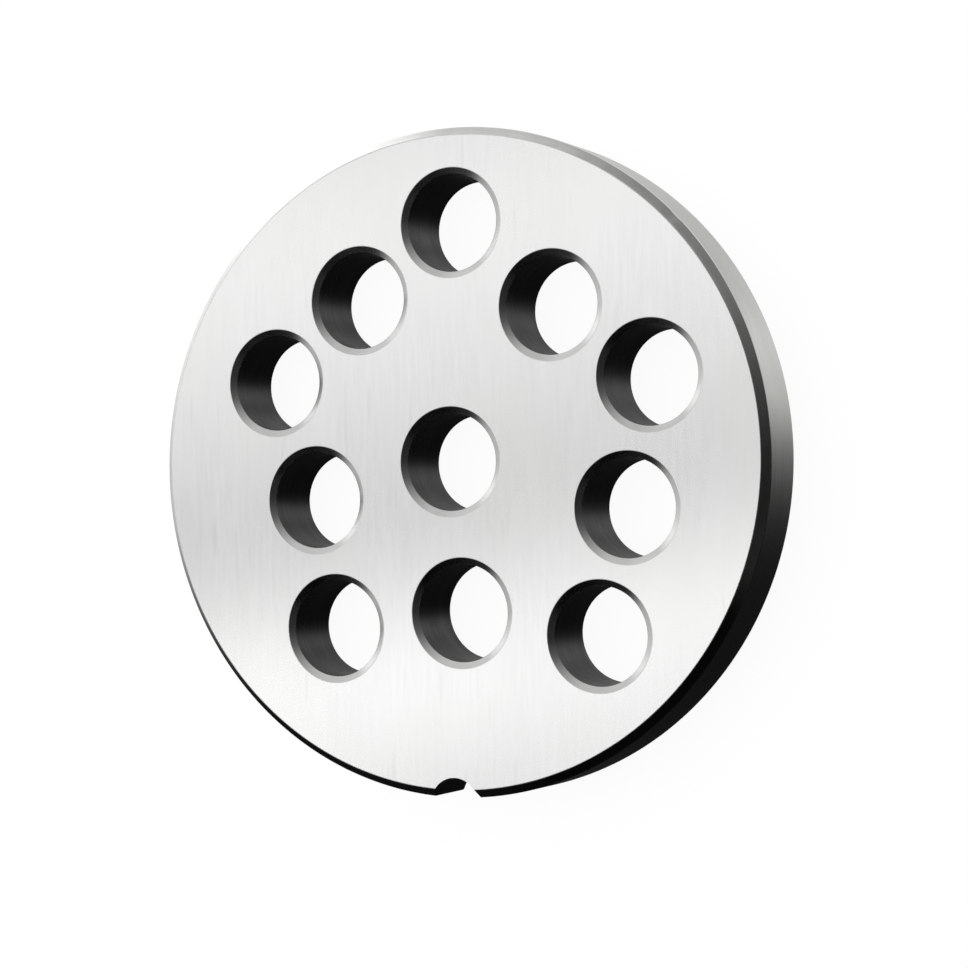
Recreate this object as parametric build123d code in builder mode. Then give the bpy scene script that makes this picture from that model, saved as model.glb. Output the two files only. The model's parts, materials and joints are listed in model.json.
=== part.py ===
from build123d import *

import os

# A meat grinder plate: a turned and ground steel disc with a centre bore, through feed holes and a
# locating notch in its rim.  It is one piece of steel.
#
# Millimetres, +Z up.  The origin is on the axis of the centre bore, in the knife face, which is the
# face that the plate lies on.  The outlet face looks up, and the locating notch is on the -Y side.

# Disc
plate_diameter = 82.0
plate_thickness = 9.0
outlet_edge_chamfer = 1.0
knife_edge_break = 0.2

# Centre bore, which runs on the stub at the end of the feed screw
bore_diameter = 12.0

# Feed holes, which the meat is pressed through.  They stand round the bore in two staggered rings,
# unevenly spaced.  Each has its own distance from the bore's axis, and its own angle from +X in
# degrees.
feed_hole_diameter = 12.0
outer_ring_radii = [28.0, 29.25, 26.5, 26.0, 28.75]
outer_ring_angles = [20.0, 89.0, 156.5, 231.5, 312.5]
inner_ring_radii = [23.0, 23.75, 19.25, 18.5, 24.0]
inner_ring_angles = [53.5, 121.0, 193.0, 274.0, 345.5]

# Countersink at each hole's mouth on the outlet face.  On the knife face the holes keep the sharp
# edges that the knife cuts against.
mouth_relief = 0.7
mouth_angle = 90.0

# Locating notch: a half-round groove down the rim, for the key in the grinder's ring
notch_radius = 3.2
notch_depth = 2.5

rim_radius = plate_diameter / 2
bore_radius = bore_diameter / 2
feed_hole_radius = feed_hole_diameter / 2
notch_axis_radius = rim_radius - notch_depth + notch_radius
feed_hole_radii = outer_ring_radii + inner_ring_radii
feed_hole_angles = outer_ring_angles + inner_ring_angles

with BuildPart() as grinder_plate:
    # Disc, turned from its half section
    with BuildSketch(Plane.XZ):
        with BuildLine():
            Polyline(
                (0, 0),
                (rim_radius - knife_edge_break, 0),
                (rim_radius, knife_edge_break),
                (rim_radius, plate_thickness - outlet_edge_chamfer),
                (rim_radius - outlet_edge_chamfer, plate_thickness),
                (0, plate_thickness),
                close=True,
            )
        make_face()
    revolve(axis=Axis.Z)

    # Centre bore and feed holes, drilled and countersunk from the outlet face
    with Locations((0, 0, plate_thickness)):
        CounterSinkHole(
            radius=bore_radius,
            counter_sink_radius=bore_radius + mouth_relief,
            counter_sink_angle=mouth_angle,
        )
        for pitch_radius, pitch_angle in zip(feed_hole_radii, feed_hole_angles):
            with PolarLocations(pitch_radius, 1, start_angle=pitch_angle):
                CounterSinkHole(
                    radius=feed_hole_radius,
                    counter_sink_radius=feed_hole_radius + mouth_relief,
                    counter_sink_angle=mouth_angle,
                )

    # Locating notch, through the whole thickness
    with BuildSketch(Plane.XY):
        with Locations((0, -notch_axis_radius)):
            Circle(notch_radius)
    extrude(amount=plate_thickness, mode=Mode.SUBTRACT)

grinder_plate.part.label = "grinder_plate"

os.makedirs("parts", exist_ok=True)
export_step(grinder_plate.part, "parts/grinder_plate.step")
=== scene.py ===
"""Looks of a meat grinder plate: one disc of ground steel, on a pale floor, in a banded light.

Metres, +Z up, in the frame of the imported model: the plate lies on its knife face, with the axis of
its centre bore on Z and its locating notch on the -Y side.
"""

import json
import logging
import math
from dataclasses import dataclass, field
from enum import Enum

import bmesh
import bpy
from mathutils import Matrix, Vector

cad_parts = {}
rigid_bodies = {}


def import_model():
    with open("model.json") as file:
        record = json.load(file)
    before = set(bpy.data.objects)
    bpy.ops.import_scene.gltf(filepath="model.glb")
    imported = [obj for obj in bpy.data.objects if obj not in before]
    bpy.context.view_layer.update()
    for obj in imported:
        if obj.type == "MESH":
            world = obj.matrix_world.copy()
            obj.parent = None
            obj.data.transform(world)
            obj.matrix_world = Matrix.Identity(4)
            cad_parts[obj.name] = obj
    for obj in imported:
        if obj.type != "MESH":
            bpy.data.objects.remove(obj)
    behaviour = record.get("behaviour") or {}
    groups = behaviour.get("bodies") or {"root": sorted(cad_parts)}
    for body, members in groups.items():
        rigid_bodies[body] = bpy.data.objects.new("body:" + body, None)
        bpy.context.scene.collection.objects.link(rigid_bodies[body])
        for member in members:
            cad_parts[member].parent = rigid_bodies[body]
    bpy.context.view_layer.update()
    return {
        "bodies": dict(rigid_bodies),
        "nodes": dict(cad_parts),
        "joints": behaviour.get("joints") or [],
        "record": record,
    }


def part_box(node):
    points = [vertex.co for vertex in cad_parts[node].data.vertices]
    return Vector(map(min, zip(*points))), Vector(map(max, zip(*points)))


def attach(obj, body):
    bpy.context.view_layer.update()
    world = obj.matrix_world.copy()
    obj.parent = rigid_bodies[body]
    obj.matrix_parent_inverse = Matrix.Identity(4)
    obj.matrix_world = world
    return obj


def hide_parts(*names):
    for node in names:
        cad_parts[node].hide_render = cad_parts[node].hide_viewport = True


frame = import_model()

MM = 0.001
PLATE_NODE = "grinder_plate"
MARKS_UV = "marks"
BANDS = "bands"
OUTLET_BAND, KNIFE_BAND, NOTCH_BAND = 1, 2, 9
FIRST_RIM_BAND, FIRST_HOLE_BAND = 10, 30
NOTCH_SLACK = 1.0005  # a face this near to the notch's wall is part of it
HOLE_SHIFT = 30 * MM  # keeps the marks of one hole unlike the next one's
SCORE_GREY = (0.3, 0.3, 0.3)

log = logging.getLogger("grinder_plate")


# ---------------------------------------------------------------------------------------------
# Node groups: effects that more than one finish uses
# ---------------------------------------------------------------------------------------------


class NodeTree:
    """A short way to add and join the nodes of one shader tree."""

    def __init__(self, tree: bpy.types.NodeTree) -> None:
        """Wraps a node tree.

        Args:
            tree: The node tree of a material, a world or a group.
        """
        self.tree = tree

    def add(self, kind: str, **settings: object) -> bpy.types.Node:
        """Adds a node.

        Args:
            kind: The node's Blender type.
            **settings: Attributes of the node to set.

        Returns:
            The new node.
        """
        node = self.tree.nodes.new(kind)
        for name, value in settings.items():
            setattr(node, name, value)
        return node

    def join(self, source: bpy.types.NodeSocket, target: bpy.types.NodeSocket) -> None:
        """Links an output to an input."""
        self.tree.links.new(source, target)

    def math(self, operation: str, first: object, second: object = 0.0) -> bpy.types.NodeSocket:
        """Adds a Math node.

        Args:
            operation: The node's operation.
            first: A socket or a number.
            second: A socket or a number.

        Returns:
            The node's output.
        """
        node = self.add("ShaderNodeMath", operation=operation)
        for slot, value in zip(node.inputs, (first, second)):
            if isinstance(value, bpy.types.NodeSocket):
                self.join(value, slot)
            else:
                slot.default_value = value
        return node.outputs[0]

    def ramp(self, value: bpy.types.NodeSocket, low: float, high: float,
             to_low: float = 0.0, to_high: float = 1.0) -> bpy.types.NodeSocket:
        """Maps a value from one range to another, and holds it at the ends.

        Args:
            value: The value to map.
            low: The value that becomes to_low.
            high: The value that becomes to_high.
            to_low: The result at low.
            to_high: The result at high.

        Returns:
            The mapped value.
        """
        node = self.add("ShaderNodeMapRange", clamp=True)
        self.join(value, node.inputs["Value"])
        node.inputs["From Min"].default_value = low
        node.inputs["From Max"].default_value = high
        node.inputs["To Min"].default_value = to_low
        node.inputs["To Max"].default_value = to_high
        return node.outputs["Result"]

    def grade(self, value: bpy.types.NodeSocket,
              points: tuple[tuple[float, float], ...]) -> bpy.types.NodeSocket:
        """Maps a value through a graph of straight lines.

        Args:
            value: The value to map.
            points: The graph's points, in order, each a value and its result between 0 and 2.

        Returns:
            The mapped value.
        """
        first, last = points[0][0], points[-1][0]
        node = self.add("ShaderNodeValToRGB")
        self.join(self.ramp(value, first, last), node.inputs[0])
        stops = node.color_ramp.elements
        stops.remove(stops[1])
        for index, (where, result) in enumerate(points):
            at = (where - first) / (last - first)
            stop = stops[0] if index == 0 else stops.new(at)
            stop.position = at
            stop.color = (result / 2, result / 2, result / 2, 1.0)
        return self.math("MULTIPLY", node.outputs[0], 2.0)

    def mix(self, factor: bpy.types.NodeSocket, first: object,
            second: object) -> bpy.types.NodeSocket:
        """Mixes two values.

        Args:
            factor: 0 for the first value, 1 for the second.
            first: A socket or a number.
            second: A socket or a number.

        Returns:
            The mixed value.
        """
        node = self.add("ShaderNodeMix", data_type="FLOAT")
        self.join(factor, node.inputs["Factor"])
        for slot, value in ((node.inputs[2], first), (node.inputs[3], second)):
            if isinstance(value, bpy.types.NodeSocket):
                self.join(value, slot)
            else:
                slot.default_value = value
        return node.outputs[0]

    def blend(self, factor: bpy.types.NodeSocket, first: object,
              second: object) -> bpy.types.NodeSocket:
        """Mixes two colours.

        Args:
            factor: 0 for the first colour, 1 for the second.
            first: A socket or a colour.
            second: A socket or a colour.

        Returns:
            The mixed colour.
        """
        node = self.add("ShaderNodeMix", data_type="RGBA")
        self.join(factor, node.inputs["Factor"])
        for slot, value in ((node.inputs[6], first), (node.inputs[7], second)):
            if isinstance(value, bpy.types.NodeSocket):
                self.join(value, slot)
            else:
                slot.default_value = (*value, 1.0)
        return node.outputs[2]


def new_group(name: str, inputs: dict[str, tuple[str, float]], outputs: tuple[str, ...]) -> tuple:
    """Makes an empty shader node group.

    Args:
        name: The group's name.
        inputs: For each input its socket type and its default value.
        outputs: The names of its outputs, which are all plain values.

    Returns:
        The group, its NodeTree, its input node and its output node.
    """
    group = bpy.data.node_groups.new(name, "ShaderNodeTree")
    for label, (kind, default) in inputs.items():
        socket = group.interface.new_socket(label, in_out="INPUT", socket_type=kind)
        if kind == "NodeSocketFloat":
            socket.default_value = default
    for label in outputs:
        group.interface.new_socket(label, in_out="OUTPUT", socket_type="NodeSocketFloat")
    nodes = NodeTree(group)
    return group, nodes, nodes.add("NodeGroupInput"), nodes.add("NodeGroupOutput")


def make_tool_marks() -> bpy.types.NodeTree:
    """Makes the group for the lines that grinding, turning or drilling leaves.

    Its coordinates are metres across the lines and metres along them.

    Returns:
        The group. Depth is the lines' height for a bump, Shine is the change from line to line and
        from one bundle of lines to the next, and Score marks the few lines that are cut deeper.
    """
    group, nodes, given, result = new_group(
        "tool_marks",
        {
            "Coordinates": ("NodeSocketVector", 0.0),
            "Lines per metre": ("NodeSocketFloat", 4000.0),
            "Breaks per metre": ("NodeSocketFloat", 30.0),
        },
        ("Depth", "Shine", "Score"),
    )
    split = nodes.add("ShaderNodeSeparateXYZ")
    nodes.join(given.outputs["Coordinates"], split.inputs[0])

    def noise(width: float, length: float, detail: float, seed: float) -> bpy.types.NodeSocket:
        """Noise drawn out along the lines, at a share of the lines' own spacing."""
        across = nodes.math("MULTIPLY", split.outputs[0], given.outputs["Lines per metre"])
        along = nodes.math("MULTIPLY", split.outputs[1], given.outputs["Breaks per metre"])
        place = nodes.add("ShaderNodeCombineXYZ")
        nodes.join(nodes.math("DIVIDE", across, width), place.inputs[0])
        nodes.join(nodes.math("DIVIDE", along, length), place.inputs[1])
        place.inputs[2].default_value = seed
        texture = nodes.add("ShaderNodeTexNoise", noise_dimensions="3D")
        nodes.join(place.outputs[0], texture.inputs["Vector"])
        texture.inputs["Scale"].default_value = 1.0
        texture.inputs["Detail"].default_value = detail
        texture.inputs["Roughness"].default_value = 0.6
        return texture.outputs["Fac"]

    fine = noise(1.0, 1.0, 2.0, 0.0)
    bundles = noise(9.0, 2.5, 3.0, 7.0)
    scores = noise(2.4, 1.6, 1.0, 19.0)
    nodes.join(fine, result.inputs["Depth"])
    shine = nodes.mix(nodes.ramp(fine, 0.3, 0.7), nodes.ramp(bundles, 0.3, 0.7, 0.0, 0.5),
                      nodes.ramp(bundles, 0.3, 0.7, 0.5, 1.0))
    nodes.join(shine, result.inputs["Shine"])
    nodes.join(nodes.ramp(scores, 0.66, 0.74), result.inputs["Score"])
    return group


def make_clouding() -> bpy.types.NodeTree:
    """Makes the group for the soft clouds that handling and wiping leave on bare steel.

    Returns:
        The group. Film is a broad cloud, and Tint a second one, at other places.
    """
    group, nodes, given, result = new_group(
        "clouding", {"Clouds per metre": ("NodeSocketFloat", 40.0)}, ("Film", "Tint")
    )
    place = nodes.add("ShaderNodeTexCoord")
    for output, seed in (("Film", 0.0), ("Tint", 3.7)):
        shift = nodes.add("ShaderNodeMapping")
        shift.inputs["Location"].default_value = (seed, seed, seed)
        nodes.join(place.outputs["Object"], shift.inputs["Vector"])
        texture = nodes.add("ShaderNodeTexNoise", noise_dimensions="3D")
        nodes.join(shift.outputs[0], texture.inputs["Vector"])
        nodes.join(given.outputs["Clouds per metre"], texture.inputs["Scale"])
        texture.inputs["Detail"].default_value = 3.0
        nodes.join(nodes.ramp(texture.outputs["Fac"], 0.35, 0.65), result.inputs[output])
    return group


# ---------------------------------------------------------------------------------------------
# Finishes
# ---------------------------------------------------------------------------------------------


class Surface(Enum):
    """The surfaces of the plate, each with the finish that its own machining leaves."""

    FACE = 0
    RIM = 1
    CHAMFER = 2
    MOUTH = 3
    BORE = 4
    NOTCH = 5
    EDGE = 6


@dataclass(frozen=True)
class SteelFinish:
    """Bare steel with the marks of one kind of machining.

    Attributes:
        name: The material's name.
        bright: Colour of the clean metal.
        dull: Colour where the marks bunch together.
        warm: Colour of the thin film that handling leaves.
        roughness: Lowest and highest roughness.
        anisotropy: How much wider the metal spreads light across the marks than along them.
        lines: Marks per metre, across them.
        breaks: Changes per metre, along the marks.
        depth: Depth of the marks, in metres.
        score_tone: How much a deeper mark darkens the metal.
        clouds: Clouds per metre.
        metallic: How metallic the surface is. Bare steel is 1, and a lower value scatters some of
            the light, so that the surface isn't black where it mirrors a dark room.
    """

    name: str
    bright: tuple[float, float, float]
    dull: tuple[float, float, float]
    warm: tuple[float, float, float]
    roughness: tuple[float, float]
    anisotropy: float
    lines: float
    breaks: float
    depth: float
    score_tone: float = 0.0
    clouds: float = 40.0
    metallic: float = 1.0

    def material(self, marks: bpy.types.NodeTree, clouds: bpy.types.NodeTree) -> bpy.types.Material:
        """Builds the material.

        Args:
            marks: The group of tool marks.
            clouds: The group of clouding.

        Returns:
            The new material.
        """
        made = bpy.data.materials.new(self.name)
        made.use_nodes = True
        nodes = NodeTree(made.node_tree)
        shader = made.node_tree.nodes["Principled BSDF"]
        shader.inputs["Metallic"].default_value = self.metallic
        shader.inputs["Anisotropic"].default_value = self.anisotropy

        surface_map = nodes.add("ShaderNodeUVMap", uv_map=MARKS_UV)
        lines = nodes.add("ShaderNodeGroup", node_tree=marks)
        nodes.join(surface_map.outputs[0], lines.inputs["Coordinates"])
        lines.inputs["Lines per metre"].default_value = self.lines
        lines.inputs["Breaks per metre"].default_value = self.breaks
        film = nodes.add("ShaderNodeGroup", node_tree=clouds)
        film.inputs["Clouds per metre"].default_value = self.clouds

        colour = nodes.blend(lines.outputs["Shine"], self.dull, self.bright)
        tinted = nodes.blend(nodes.math("MULTIPLY", film.outputs["Tint"], 0.6), colour, self.warm)
        scored = nodes.blend(
            nodes.math("MULTIPLY", lines.outputs["Score"], self.score_tone), tinted, SCORE_GREY
        )
        nodes.join(scored, shader.inputs["Base Color"])

        low, high = self.roughness
        worn = nodes.math("ADD", nodes.math("MULTIPLY", film.outputs["Film"], 0.6),
                          nodes.math("MULTIPLY", lines.outputs["Shine"], 0.4))
        nodes.join(nodes.ramp(worn, 0.0, 1.0, low, high), shader.inputs["Roughness"])

        bump = nodes.add("ShaderNodeBump")
        bump.inputs["Strength"].default_value = 1.0
        bump.inputs["Distance"].default_value = self.depth
        nodes.join(lines.outputs["Depth"], bump.inputs["Height"])
        nodes.join(bump.outputs[0], shader.inputs["Normal"])

        across = nodes.add("ShaderNodeTangent", direction_type="UV_MAP", uv_map=MARKS_UV)
        nodes.join(across.outputs[0], shader.inputs["Tangent"])
        return made


FINISHES: dict[Surface, SteelFinish] = {
    Surface.FACE: SteelFinish(
        name="ground_face", bright=(0.84, 0.84, 0.84), dull=(0.77, 0.77, 0.77),
        warm=(0.82, 0.815, 0.80), roughness=(0.17, 0.20), anisotropy=0.9, lines=1900.0,
        breaks=140.0, depth=0.3e-6, score_tone=0.06, metallic=0.78,
    ),
    Surface.RIM: SteelFinish(
        name="turned_rim", bright=(0.68, 0.68, 0.66), dull=(0.54, 0.54, 0.52),
        warm=(0.58, 0.58, 0.545), roughness=(0.22, 0.3), anisotropy=0.6, lines=3000.0,
        breaks=40.0, depth=0.5e-6, score_tone=0.2, clouds=120.0,
    ),
    Surface.CHAMFER: SteelFinish(
        name="turned_chamfer", bright=(0.67, 0.67, 0.66), dull=(0.5, 0.5, 0.49),
        warm=(0.52, 0.52, 0.5), roughness=(0.13, 0.19), anisotropy=0.5, lines=4000.0,
        breaks=60.0, depth=0.4e-6, score_tone=0.2, clouds=420.0,
    ),
    Surface.MOUTH: SteelFinish(
        name="countersunk_mouth", bright=(0.69, 0.69, 0.68), dull=(0.56, 0.56, 0.55),
        warm=(0.62, 0.62, 0.6), roughness=(0.14, 0.2), anisotropy=0.4, lines=4000.0,
        breaks=120.0, depth=0.5e-6, score_tone=0.2, clouds=250.0,
    ),
    # The bore's colours are darker than the other surfaces': partly a dull drilled wall, partly
    # painted shade inside the holes.
    Surface.BORE: SteelFinish(
        name="drilled_bore", bright=(0.30, 0.30, 0.30), dull=(0.15, 0.15, 0.15),
        warm=(0.16, 0.157, 0.147), roughness=(0.22, 0.32), anisotropy=0.3, lines=1800.0,
        breaks=90.0, depth=1.5e-6, score_tone=0.3, clouds=260.0,
    ),
    Surface.NOTCH: SteelFinish(
        name="milled_notch", bright=(0.4, 0.4, 0.4), dull=(0.28, 0.28, 0.28),
        warm=(0.36, 0.35, 0.33), roughness=(0.34, 0.46), anisotropy=0.3, lines=2200.0,
        breaks=80.0, depth=1.2e-6, score_tone=0.2, clouds=300.0,
    ),
    Surface.EDGE: SteelFinish(
        name="worn_edge", bright=(0.8, 0.8, 0.79), dull=(0.56, 0.56, 0.55),
        warm=(0.6, 0.59, 0.57), roughness=(0.2, 0.32), anisotropy=0.0, lines=3000.0,
        breaks=300.0, depth=0.3e-6, score_tone=0.1, clouds=300.0,
    ),
}


# ---------------------------------------------------------------------------------------------
# The plate
# ---------------------------------------------------------------------------------------------


@dataclass(frozen=True)
class Corner:
    """One corner of a half section: a point, and what lies between it and the next corner.

    Attributes:
        radius: Distance from the axis, in metres.
        height: Height over the floor, in metres.
        then: The surface that follows.
        rounding: How far the corner is broken back along each side, in metres.
        edge: The surface of the rounding.
    """

    radius: float
    height: float
    then: Surface
    rounding: float = 0.0
    edge: Surface = Surface.EDGE


@dataclass
class GrinderPlate:
    """The plate: one closed mesh, each of whose surfaces has its own finish.

    Attributes:
        rim_radius: Radius of the rim.
        thickness: From the knife face to the outlet face.
        rim_low: Height at which the rim's straight wall begins.
        rim_high: Height at which it ends.
        bore_radius: Radius of the centre bore.
        hole_radius: Radius of a feed hole.
        mouth_relief: Width of the solid's countersink at each mouth.
        feed_holes: Centre of each feed hole.
        notch_radius: Radius of the locating notch.
        notch_depth: Depth of the notch, from the rim.
        nick_angle: Where the rim's upper edge has a small nick, in degrees round from +X.
        nick_size: Half the nick's length, along the edge.
        nick_depth: Its depth.
        mouth_extra: How much wider the countersink is than the solid's.
        mouth_slope: Depth of the countersink, as a share of its width.
        face_rounding: Rounding between the outlet face and the chamfer.
        ridge_rounding: Rounding between the chamfer and the rim.
        knife_rounding: Rounding between the rim and its lower broken edge.
        mouth_rounding: Rounding between the outlet face and a mouth.
        bore_rounding: Rounding between a mouth and its bore.
        rim_steps: Segments round the rim.
        hole_steps: Segments round a hole.
        notch_steps: Segments round the notch.
        mesh: The plate's mesh, while it is being made.
    """

    rim_radius: float
    thickness: float
    rim_low: float
    rim_high: float
    bore_radius: float
    hole_radius: float
    mouth_relief: float
    feed_holes: list[Vector]
    notch_radius: float = 3.2 * MM
    notch_depth: float = 2.5 * MM
    nick_angle: float = 43.5
    nick_size: float = 1.0 * MM
    nick_depth: float = 0.16 * MM
    mouth_extra: float = 0.08 * MM
    mouth_slope: float = 0.6
    face_rounding: float = 0.09 * MM
    ridge_rounding: float = 0.1 * MM
    knife_rounding: float = 0.03 * MM
    mouth_rounding: float = 0.06 * MM
    bore_rounding: float = 0.03 * MM
    rim_steps: int = 336
    hole_steps: int = 96
    notch_steps: int = 28
    mesh: bmesh.types.BMesh = field(default_factory=bmesh.new)

    @classmethod
    def from_frame(cls, loaded: dict) -> "GrinderPlate":
        """Reads the plate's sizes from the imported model.

        The feed holes have no mount of their own, and are as wide as the bore.


        Returns:
            The plate, with no mesh yet.
        """
        low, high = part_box(PLATE_NODE)
        mounts = {mount["name"]: mount for mount in loaded["record"]["mounts"]}
        rim, bore = mounts["rim"], mounts["centre_bore"]
        rim_middle = rim["pos_m"][2]
        rim_half = rim["dims"]["length_mm"] * MM / 2
        openings = loaded["record"]["physics"]["openings"]
        centres = [(Vector(box["box_m"][0]) + Vector(box["box_m"][1])) / 2 for box in openings]
        thickness = high.z - low.z
        return cls(
            rim_radius=min(-low.x, high.x, high.y),
            thickness=thickness,
            rim_low=rim_middle - rim_half,
            rim_high=rim_middle + rim_half,
            bore_radius=bore["dims"]["r_mm"] * MM,
            hole_radius=bore["dims"]["r_mm"] * MM,
            mouth_relief=thickness - bore["dims"]["length_mm"] * MM,
            feed_holes=centres,
        )

    def build(self) -> bpy.types.Object:
        """Makes the plate's mesh and object.

        Returns:
            The plate's object, undressed.
        """
        self.mesh.faces.layers.int.new(BANDS)
        outlet_edges, knife_edges = self.cut_rim()
        self.nick_rim()
        self.join(self.drill(self.bore_radius), Vector((0.0, 0.0, 0.0)))
        for centre in self.feed_holes:
            self.join(self.drill(self.hole_radius), Vector((centre.x, centre.y, 0.0)))
        for edge in self.mesh.edges:
            middle = (edge.verts[0].co + edge.verts[1].co) / 2
            if edge.is_boundary and middle.xy.length < self.rim_radius - 3 * self.mouth_relief:
                (outlet_edges if middle.z > self.thickness / 2 else knife_edges).append(edge)
        self.fill_face(list(dict.fromkeys(outlet_edges)), up=True)
        self.fill_face(list(dict.fromkeys(knife_edges)), up=False)
        bmesh.ops.recalc_face_normals(self.mesh, faces=self.mesh.faces[:])
        self.sharpen()
        self.lay_marks()
        self.mesh.faces.layers.int.remove(self.mesh.faces.layers.int[BANDS])

        data = bpy.data.meshes.new("plate")
        self.mesh.to_mesh(data)
        self.mesh.free()
        made = bpy.data.objects.new("plate", data)
        bpy.context.scene.collection.objects.link(made)
        return made

    def join(self, part: bmesh.types.BMesh, place: Vector) -> None:
        """Adds a part to the plate's mesh.

        Args:
            part: The part's mesh, which is used up.
            place: Where its origin goes.
        """
        bmesh.ops.translate(part, verts=part.verts[:], vec=place)
        data = bpy.data.meshes.new("part")
        part.to_mesh(data)
        part.free()
        self.mesh.from_mesh(data)
        bpy.data.meshes.remove(data)

    @staticmethod
    def section(mesh: bmesh.types.BMesh,
                corners: list[Corner]) -> tuple[list[bmesh.types.BMVert], list[Surface]]:
        """Draws a half section in the XZ plane and rounds its corners.

        Args:
            mesh: The mesh to draw in.
            corners: The section's corners, in order. The first only gives the direction in which
                the section arrives at the second, and is taken out again.

        Returns:
            The section's vertices in order, and the surface between each and the next.
        """
        verts = [mesh.verts.new((c.radius, 0.0, c.height)) for c in corners]
        for first, second in zip(verts, verts[1:]):
            mesh.edges.new((first, second))
        chain: list[bmesh.types.BMVert] = []
        surfaces: list[Surface] = []
        for corner, vert in zip(corners, verts):
            if corner.rounding == 0.0:
                chain.append(vert)
                surfaces.append(corner.then)
                continue
            back = chain[-1]
            rounded = bmesh.ops.bevel(
                mesh, geom=[vert], offset=corner.rounding, offset_type="OFFSET", segments=3,
                profile=0.5, affect="VERTICES", material=-1,
            )["verts"]
            rounded.sort(key=lambda v: (v.co - back.co).length)
            chain += rounded
            surfaces += [corner.edge] * (len(rounded) - 1) + [corner.then]
        bmesh.ops.delete(mesh, geom=chain[:1], context="VERTS")
        return chain[1:], surfaces[1:-1]

    @staticmethod
    def paint(mesh: bmesh.types.BMesh, faces: list[bmesh.types.BMFace], surface: Surface,
              band: int) -> None:
        """Gives faces their surface's material and the number of their band."""
        bands = mesh.faces.layers.int[BANDS]
        for face in faces:
            face.material_index = surface.value
            face.smooth = True
            face[bands] = band

    @staticmethod
    def arc(mesh: bmesh.types.BMesh, start: Vector, centre: Vector, angle: float,
            steps: int) -> list[bmesh.types.BMVert]:
        """Draws an arc of edges about a vertical axis.

        Args:
            mesh: The mesh to draw in.
            start: The arc's first point.
            centre: A point of the axis.
            angle: The arc's angle, in radians.
            steps: Its number of edges.

        Returns:
            Its vertices, in order.
        """
        chain = [mesh.verts.new(start)]
        bmesh.ops.spin(
            mesh, geom=chain[:1], cent=centre, axis=(0.0, 0.0, 1.0), dvec=(0.0, 0.0, 0.0),
            angle=angle, steps=steps, use_merge=False, use_normal_flip=False, use_duplicate=False,
        )
        edge = None
        for _ in range(steps):
            edge = next(e for e in chain[-1].link_edges if e is not edge)
            chain.append(edge.other_vert(chain[-1]))
        return chain

    @property
    def notch_axis(self) -> float:
        """Distance of the notch's axis from the plate's."""
        return self.rim_radius - self.notch_depth + self.notch_radius

    def off_notch_axis(self, face: bmesh.types.BMFace) -> float:
        """How far a face's middle is from the notch's axis."""
        middle = face.calc_center_median()
        return math.hypot(middle.x, middle.y + self.notch_axis)

    def rim_ring(self, radius: float, height: float) -> list[bmesh.types.BMEdge]:
        """Draws one level of the rim: the round, and the notch's arc that closes it.

        Args:
            radius: Radius of the round at this level.
            height: The level.

        Returns:
            The ring's edges.
        """
        squares = radius ** 2 + self.notch_axis ** 2 - self.notch_radius ** 2
        reach = squares / (2 * self.notch_axis)
        half_mouth = math.sqrt(radius ** 2 - reach ** 2)
        gap = 2 * math.asin(half_mouth / radius)
        swing = 2 * math.atan2(half_mouth, self.notch_axis - reach)
        ring = bmesh.new()
        turned = self.arc(ring, Vector((half_mouth, -reach, height)), Vector((0.0, 0.0, height)),
                          math.tau - gap, self.rim_steps)
        self.arc(ring, turned[-1].co, Vector((0.0, -self.notch_axis, height)), -swing,
                 self.notch_steps)
        bmesh.ops.remove_doubles(ring, verts=ring.verts[:], dist=0.001 * MM)
        self.join(ring, Vector((0.0, 0.0, 0.0)))
        return [edge for edge in self.mesh.edges if edge.is_wire]

    def cut_rim(self) -> tuple[list[bmesh.types.BMEdge], list[bmesh.types.BMEdge]]:
        """Turns the rim, with its chamfer, its broken edge and the notch.

        Returns:
            The edges that bound the outlet face, and those that bound the knife face.
        """
        chamfer = self.thickness - self.rim_high
        sketch = bmesh.new()
        chain, surfaces = self.section(sketch, [
            Corner(self.rim_radius - 2 * chamfer, self.thickness, Surface.FACE),
            Corner(self.rim_radius - chamfer, self.thickness, Surface.CHAMFER,
                   self.face_rounding),
            Corner(self.rim_radius, self.rim_high, Surface.RIM, self.ridge_rounding),
            Corner(self.rim_radius, self.rim_low, Surface.CHAMFER, self.knife_rounding),
            Corner(self.rim_radius - self.rim_low, 0.0, Surface.FACE),
        ])
        levels = [(vert.co.x, vert.co.z) for vert in chain]
        sketch.free()
        upper = first = self.rim_ring(*levels[0])
        for index, (level, surface) in enumerate(zip(levels[1:], surfaces)):
            lower = [edge for edge in self.rim_ring(*level) if edge not in upper]
            faces = bmesh.ops.bridge_loops(self.mesh, edges=upper + lower)["faces"]
            notch_reach = self.notch_radius * NOTCH_SLACK
            in_notch = [f for f in faces if self.off_notch_axis(f) < notch_reach]
            turned = [f for f in faces if self.off_notch_axis(f) >= notch_reach]
            self.paint(self.mesh, turned, surface, FIRST_RIM_BAND + index)
            self.paint(self.mesh, in_notch, Surface.NOTCH, NOTCH_BAND)
            upper = lower
        return first, upper

    def nick_rim(self) -> None:
        """Dents the rim's upper edge a little, as a knock does."""
        angle = math.radians(self.nick_angle)
        outward = Vector((math.cos(angle), math.sin(angle), 0.0))
        middle = outward * self.rim_radius + Vector((0.0, 0.0, self.rim_high))
        inward = -(outward + Vector((0.0, 0.0, 1.0))).normalized()
        for vert in self.mesh.verts:
            share = 1.0 - (vert.co - middle).length / self.nick_size
            if share > 0.0:
                vert.co += inward * self.nick_depth * share

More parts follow.
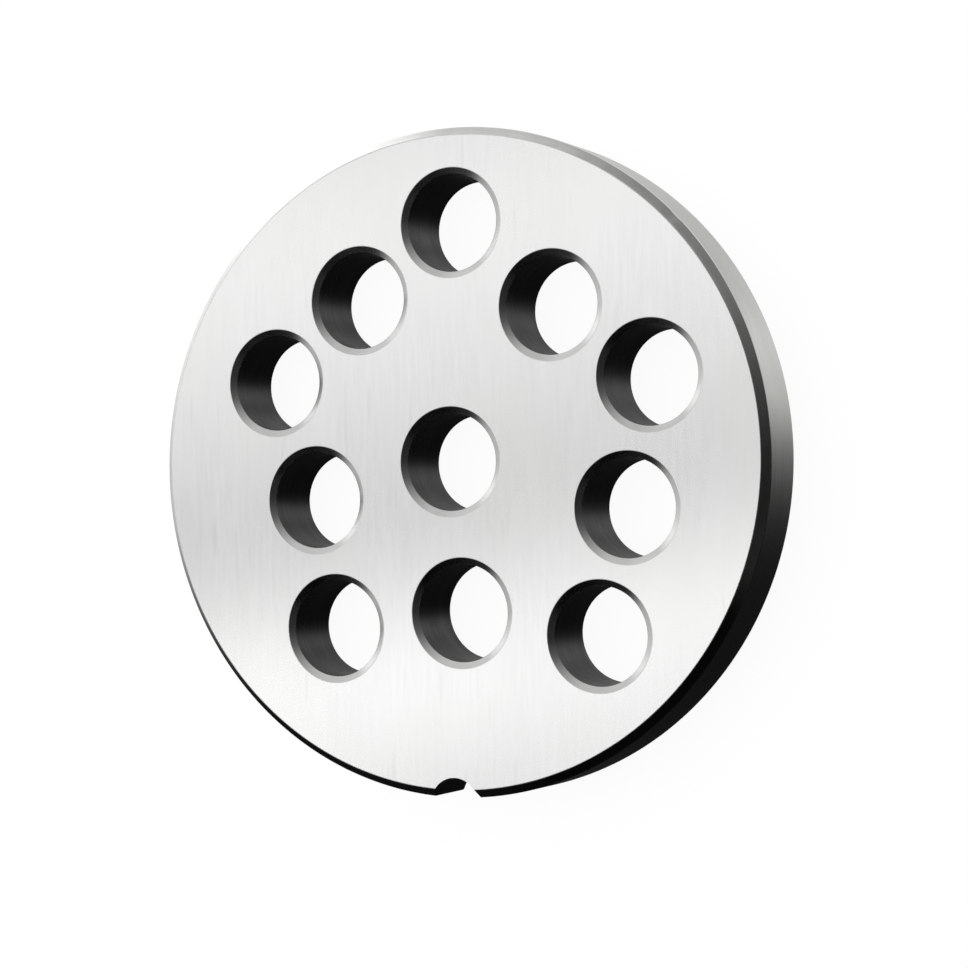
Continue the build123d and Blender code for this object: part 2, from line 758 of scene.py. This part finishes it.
    def drill(self, radius: float) -> bmesh.types.BMesh:
        """Drills a hole about Z and countersinks its mouth.

        Args:
            radius: The hole's radius.

        Returns:
            The mesh of its wall, open at both ends.
        """
        width = self.mouth_relief + self.mouth_extra
        low = self.thickness - self.mouth_slope * width
        hole = bmesh.new()
        hole.faces.layers.int.new(BANDS)
        chain, surfaces = self.section(hole, [
            Corner(radius + 2 * self.mouth_relief, self.thickness, Surface.FACE),
            Corner(radius + width, self.thickness, Surface.MOUTH, self.mouth_rounding,
                   Surface.MOUTH),
            Corner(radius, low, Surface.BORE, self.bore_rounding, Surface.MOUTH),
            Corner(radius, 0.0, Surface.FACE),
        ])
        levels = [(vert.co.x, vert.co.z) for vert in chain]
        bmesh.ops.spin(
            hole, geom=chain + hole.edges[:], cent=(0.0, 0.0, 0.0), axis=(0.0, 0.0, 1.0),
            dvec=(0.0, 0.0, 0.0), angle=math.tau, steps=self.hole_steps, use_merge=True,
            use_normal_flip=False, use_duplicate=False,
        )
        for index, (upper, lower, surface) in enumerate(zip(levels, levels[1:], surfaces)):
            height = (upper[1] + lower[1]) / 2
            band = [
                face for face in hole.faces
                if math.isclose(face.calc_center_median().z, height, abs_tol=1e-7)
            ]
            self.paint(hole, band, surface, FIRST_HOLE_BAND + index)
        return hole

    def fill_face(self, edges: list[bmesh.types.BMEdge], up: bool) -> None:
        """Fills a flat face between its outline and its holes.

        Args:
            edges: The outline's edges and the holes' edges.
            up: Whether this is the outlet face.
        """
        normal = (0.0, 0.0, 1.0 if up else -1.0)
        made = bmesh.ops.triangle_fill(
            self.mesh, use_beauty=True, use_dissolve=False, edges=edges, normal=normal
        )
        faces = [g for g in made["geom"] if isinstance(g, bmesh.types.BMFace)]
        self.paint(self.mesh, faces, Surface.FACE, OUTLET_BAND if up else KNIFE_BAND)

    def sharpen(self) -> None:
        """Keeps the shading of each band of faces apart from the next, except on a worn edge."""
        bands = self.mesh.faces.layers.int[BANDS]
        for edge in self.mesh.edges:
            first, second = edge.link_faces
            one_band = first[bands] == second[bands]
            one_edge = first.material_index == second.material_index == Surface.EDGE.value
            edge.smooth = one_band or one_edge

    def lay_marks(self) -> None:
        """Maps each surface in metres across its tool marks and metres along them.

        The map's seam is at the notch on the rim, and on the +X side of each hole.
        """
        bands = self.mesh.faces.layers.int[BANDS]
        layer = self.mesh.loops.layers.uv.new(MARKS_UV)
        axes = [Vector((0.0, 0.0))] + [centre.xy for centre in self.feed_holes]
        for face in self.mesh.faces:
            if face[bands] in (OUTLET_BAND, KNIFE_BAND):
                for loop in face.loops:
                    loop[layer].uv = loop.vert.co.xy
                continue
            middle = face.calc_center_median().xy
            in_hole = face[bands] >= FIRST_HOLE_BAND
            number = 0
            if in_hole:
                number = min(range(len(axes)), key=lambda n: (middle - axes[n]).length)
            out = (middle - axes[number]).normalized()
            round_it = Vector((-out.y, out.x))
            turn = math.atan2(-out.y, -out.x) if in_hole else math.atan2(-out.x, out.y)
            for loop in face.loops:
                arm = loop.vert.co.xy - axes[number]
                across = loop.vert.co.z - arm.length + number * HOLE_SHIFT
                loop[layer].uv = (across, turn * arm.length + arm.dot(round_it))

    def dress(self, made: bpy.types.Object) -> None:
        """Gives the plate's surfaces their finishes.

        Args:
            made: The plate's object.
        """
        marks, clouds = make_tool_marks(), make_clouding()
        for surface in Surface:
            made.data.materials.append(FINISHES[surface].material(marks, clouds))


# ---------------------------------------------------------------------------------------------
# Floor, light and camera
# ---------------------------------------------------------------------------------------------


@dataclass(frozen=True)
class Dome:
    """The light round the plate: a banded panel overhead, and a graded room with a dark side.

    Each graph gives the brightness at places across the dome, where 1 is white. They are fitted
    to the main view, the panel's by a separate calculation, so this isn't a plain light for
    general use.

    Attributes:
        tilt: How far the dome's bands lean from X towards Y.
        panel: The panel, by how far the direction points to +Y.
        panel_lean: How far the panel leans over to -X.
        panel_edge: Height of the direction, with that lean, at which the panel begins and is full.
        bright_side: The direction in which the room is brightest.
        wall: The room's walls, by how far the direction points to the bright side.
        cove: The room between its walls and the panel, likewise.
        ground: The room below that level, by how far the direction points to +Y.
        cove_edge: Height of the direction at which the cove begins and is full.
        dark_edge: How far to -Y the direction points where the dark side is full and ends.
        dark_share: What is left of the room's light there.
        bright_edge: How far to -X it points where the bright end begins and is full.
        bright_share: How much stronger the room's light is there.
        corner_lean: How far to the bright side it points where the ground's corner begins and is
            full.
        corner_edge: How far to -X it points there.
        corner_gain: How much light that corner of the ground adds.
        horizon: Height of the direction over which the ground gives way to the walls.
    """

    tilt: float = 0.16
    panel: tuple[tuple[float, float], ...] = (
        (-0.20, 0.78), (-0.04, 1.02), (-0.012, 1.26), (0.004, 1.55), (0.018, 1.70), (0.034, 1.59),
        (0.048, 1.18), (0.062, 0.82), (0.08, 0.64), (0.098, 0.82), (0.115, 1.03), (0.146, 1.09),
        (0.168, 1.29), (0.19, 1.37), (0.21, 1.30), (0.235, 1.06), (0.40, 0.83),
    )
    panel_lean: float = 0.50
    panel_edge: tuple[float, float] = (0.80, 0.96)
    bright_side: tuple[float, float, float] = (-0.6, 0.8, 0.0)
    wall: tuple[tuple[float, float], ...] = (
        (-0.90, 0.03), (-0.70, 0.02), (-0.52, 0.03), (-0.32, 0.08), (-0.10, 0.165), (0.125, 0.285),
        (0.342, 0.33), (0.539, 0.37), (0.706, 0.45), (0.838, 0.72), (0.928, 0.86), (1.0, 0.95),
    )
    cove: tuple[tuple[float, float], ...] = (
        (-0.70, 0.015), (-0.34, 0.03), (0.0, 0.15), (0.41, 0.52), (0.68, 0.78), (0.89, 0.86),
        (1.0, 0.90),
    )
    ground: tuple[tuple[float, float], ...] = (
        (-0.30, 0.008), (-0.20, 0.02), (-0.13, 0.05), (-0.05, 0.17), (0.0, 0.31), (0.09, 0.70),
        (0.24, 0.92), (0.35, 0.73), (0.43, 0.61), (0.60, 0.95),
    )
    cove_edge: tuple[float, float] = (0.40, 0.55)
    dark_edge: tuple[float, float] = (-0.58, -0.40)
    dark_share: float = 0.1
    bright_edge: tuple[float, float] = (-0.80, -0.95)
    bright_share: float = 2.1
    corner_lean: tuple[float, float] = (0.58, 0.70)
    corner_edge: tuple[float, float] = (-0.44, -0.62)
    corner_gain: float = 0.9
    horizon: tuple[float, float] = (-0.08, 0.04)

    def build(self) -> None:
        """Makes the world, which the camera sees as plain white."""
        world = bpy.data.worlds.new("studio")
        bpy.context.scene.world = world
        world.use_nodes = True
        nodes = NodeTree(world.node_tree)
        back = world.node_tree.nodes["Background"]
        back.inputs["Color"].default_value = (1.0, 1.0, 1.0, 1.0)

        way = nodes.add("ShaderNodeTexCoord").outputs["Generated"]
        split = nodes.add("ShaderNodeSeparateXYZ")
        nodes.join(way, split.inputs[0])
        along_x, along_y, upward = split.outputs
        place = nodes.math("SUBTRACT", along_y, nodes.math("MULTIPLY", along_x, self.tilt))
        lean = nodes.add("ShaderNodeVectorMath", operation="DOT_PRODUCT")
        nodes.join(way, lean.inputs[0])
        lean.inputs[1].default_value = self.bright_side

        panel = nodes.grade(place, self.panel)
        wall = nodes.grade(lean.outputs["Value"], self.wall)
        ground = nodes.grade(place, self.ground)
        cove = nodes.grade(lean.outputs["Value"], self.cove)
        height = nodes.math("SUBTRACT", upward, nodes.math("MULTIPLY", along_x, self.panel_lean))
        above = nodes.mix(nodes.ramp(upward, *self.cove_edge), wall, cove)
        above = nodes.math("MULTIPLY", above,
                           nodes.ramp(along_y, *self.dark_edge, self.dark_share, 1.0))
        above = nodes.math("MULTIPLY", above,
                           nodes.ramp(along_x, *self.bright_edge, 1.0, self.bright_share))
        above = nodes.mix(nodes.ramp(height, *self.panel_edge), above, panel)
        corner = nodes.math("MULTIPLY", nodes.ramp(lean.outputs["Value"], *self.corner_lean),
                            nodes.ramp(along_x, *self.corner_edge, 0.0, self.corner_gain))
        ground = nodes.math("MULTIPLY", ground, nodes.math("ADD", corner, 1.0))
        room = nodes.mix(nodes.ramp(upward, *self.horizon), ground, above)
        ray = nodes.add("ShaderNodeLightPath")
        nodes.join(nodes.mix(ray.outputs["Is Camera Ray"], room, 1.0), back.inputs["Strength"])


@dataclass
class Studio:
    """The pale floor that the plate lies on, and a disc of painted shadow under it.

    Attributes:
        floor_size: Length of the floor's side.
        floor_drop: How far the floor lies under the plate.
        shade_drop: How far the shade under the plate lies under it.
        shade_radius: Radius of that shade.
        floor_glow: Strength of the floor's own white, where it is seen.
        shade_tone: Share of light that comes through the shade.
        shade_glow: Strength of the shade's own faint light.
    """

    floor_size: float = 4.0
    floor_drop: float = 0.02 * MM
    shade_drop: float = 0.01 * MM
    shade_radius: float = 40.8 * MM
    floor_glow: float = 0.94
    shade_tone: float = 0.28
    shade_glow: float = 0.012

    def build(self) -> None:
        """Makes the floor, and the shade under the plate: a disc of painted shadow, which stands in
        for the plate's shadow on the floor.

        The metal mirrors the dome's ground in place of the floor. Only it mirrors the shade.
        """
        floor = bmesh.new()
        bmesh.ops.create_grid(floor, x_segments=1, y_segments=1, size=self.floor_size / 2)
        self.lay(self.sheet("floor", floor, self.floor_drop), self.floor_paint())
        # A dark disc of painted shadow under the plate, which only the metal's reflections see; it
        # darkens the bores.
        shade = bmesh.new()
        bmesh.ops.create_circle(shade, cap_ends=True, segments=128, radius=self.shade_radius)
        under = self.sheet("painted_shadow_disc", shade, self.shade_drop)
        self.lay(under, self.shade_paint())
        under.visible_camera = under.visible_diffuse = False
        under.visible_transmission = under.visible_shadow = False
        bpy.data.objects["floor"].visible_glossy = False

    @staticmethod
    def sheet(name: str, mesh: bmesh.types.BMesh, drop: float) -> bpy.types.Object:
        """Makes a flat sheet that isn't part of the plate.

        Args:
            name: The name of the object.
            mesh: The sheet's mesh, which is used up.
            drop: How far it lies under the plate.

        Returns:
            The new object.
        """
        bmesh.ops.translate(mesh, verts=mesh.verts[:], vec=(0.0, 0.0, -drop))
        data = bpy.data.meshes.new(name)
        mesh.to_mesh(data)
        mesh.free()
        made = bpy.data.objects.new(name, data)
        bpy.context.scene.collection.objects.link(made)
        return made

    @staticmethod
    def lay(made: bpy.types.Object, paint: bpy.types.Material) -> None:
        """Paints a sheet."""
        made.data.materials.append(paint)

    @staticmethod
    def bare(name: str) -> tuple[NodeTree, bpy.types.Material, bpy.types.NodeSocket]:
        """Makes a material with nothing but its output.

        Args:
            name: The material's name.

        Returns:
            Its node tree, the material and the output's surface.
        """
        made = bpy.data.materials.new(name)
        made.use_nodes = True
        made.node_tree.nodes.remove(made.node_tree.nodes["Principled BSDF"])
        output = made.node_tree.nodes["Material Output"]
        return NodeTree(made.node_tree), made, output.inputs["Surface"]

    def floor_paint(self) -> bpy.types.Material:
        """Makes the floor's white, which keeps the plate's soft shadow.

        Its white for glossy rays has no effect while the floor is hidden from them.
        """
        nodes, made, surface = self.bare("pale_floor")
        ray = nodes.add("ShaderNodeLightPath")
        seen = nodes.math("ADD", ray.outputs["Is Camera Ray"], ray.outputs["Is Glossy Ray"])
        seen = nodes.math("ADD", seen, ray.outputs["Is Transmission Ray"])
        matt = nodes.add("ShaderNodeBsdfDiffuse")
        nodes.join(nodes.blend(seen, (0.9, 0.9, 0.9), (0.14, 0.14, 0.14)), matt.inputs["Color"])
        glow = nodes.add("ShaderNodeEmission")
        nodes.join(nodes.math("MULTIPLY", seen, self.floor_glow), glow.inputs["Strength"])
        both = nodes.add("ShaderNodeAddShader")
        nodes.join(matt.outputs[0], both.inputs[0])
        nodes.join(glow.outputs[0], both.inputs[1])
        nodes.join(both.outputs[0], surface)
        return made

    def shade_paint(self) -> bpy.types.Material:
        """Makes the shade under the plate: painted shadow, which only the metal sees, with a faint
        glow of its own.
        """
        nodes, made, surface = self.bare("painted_shadow_disc")
        clear = nodes.add("ShaderNodeBsdfTransparent")
        clear.inputs["Color"].default_value = (*[self.shade_tone] * 3, 1.0)
        glow = nodes.add("ShaderNodeEmission")
        glow.inputs["Strength"].default_value = self.shade_glow
        both = nodes.add("ShaderNodeAddShader")
        nodes.join(clear.outputs[0], both.inputs[0])
        nodes.join(glow.outputs[0], both.inputs[1])
        nodes.join(both.outputs[0], surface)
        return made


@dataclass(frozen=True)
class ProductCamera:
    """The camera, which looks down on the plate from its +X side.

    Attributes:
        azimuth: Direction of the camera from the plate, round +Z from +X, in degrees.
        elevation: Its height over the floor, in degrees.
        roll: How far it leans to the right, in degrees.
        distance: From the aim to the camera.
        lens: Focal length for a frame 36 mm wide, in millimetres.
        aim: The point that it looks at.
    """

    azimuth: float = -2.62
    elevation: float = 64.36
    roll: float = 0.84
    distance: float = 307.5 * MM
    lens: float = 93.75
    aim: Vector = field(default_factory=lambda: Vector((3.712, -2.780, 7.158)) * MM)

    def build(self) -> None:
        """Makes the camera and looks through it."""
        data = bpy.data.cameras.new("camera")
        data.lens = self.lens
        data.sensor_width = 36.0
        data.clip_start = 0.01
        camera = bpy.data.objects.new("camera", data)
        azimuth, elevation = math.radians(self.azimuth), math.radians(self.elevation)
        back = Vector((
            math.cos(elevation) * math.cos(azimuth),
            math.cos(elevation) * math.sin(azimuth),
            math.sin(elevation),
        ))
        level = Vector((0.0, 1.0, 0.0))
        right = level.cross(back).normalized()
        up = back.cross(right)
        lean = Matrix.Rotation(-math.radians(self.roll), 3, back)
        right, up = lean @ right, lean @ up
        turn = Matrix((right, up, back)).transposed().to_4x4()
        camera.matrix_world = Matrix.Translation(self.aim + back * self.distance) @ turn
        bpy.context.scene.collection.objects.link(camera)
        bpy.context.scene.camera = camera


def main() -> None:
    """Builds the plate and its studio, and reports each piece."""
    logging.basicConfig(level=logging.INFO, format="%(name)s: %(message)s")
    bpy.context.scene.view_settings.view_transform = "Standard"

    plate = GrinderPlate.from_frame(frame)
    made = plate.build()
    plate.dress(made)
    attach(made, "root")
    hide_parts(PLATE_NODE)
    log.info("%s: %d faces, %d materials", made.name, len(made.data.polygons),
             len(made.data.materials))

    Dome().build()
    Studio().build()
    ProductCamera().build()
    log.info("studio and camera are set")


if __name__ == "__main__":
    main()
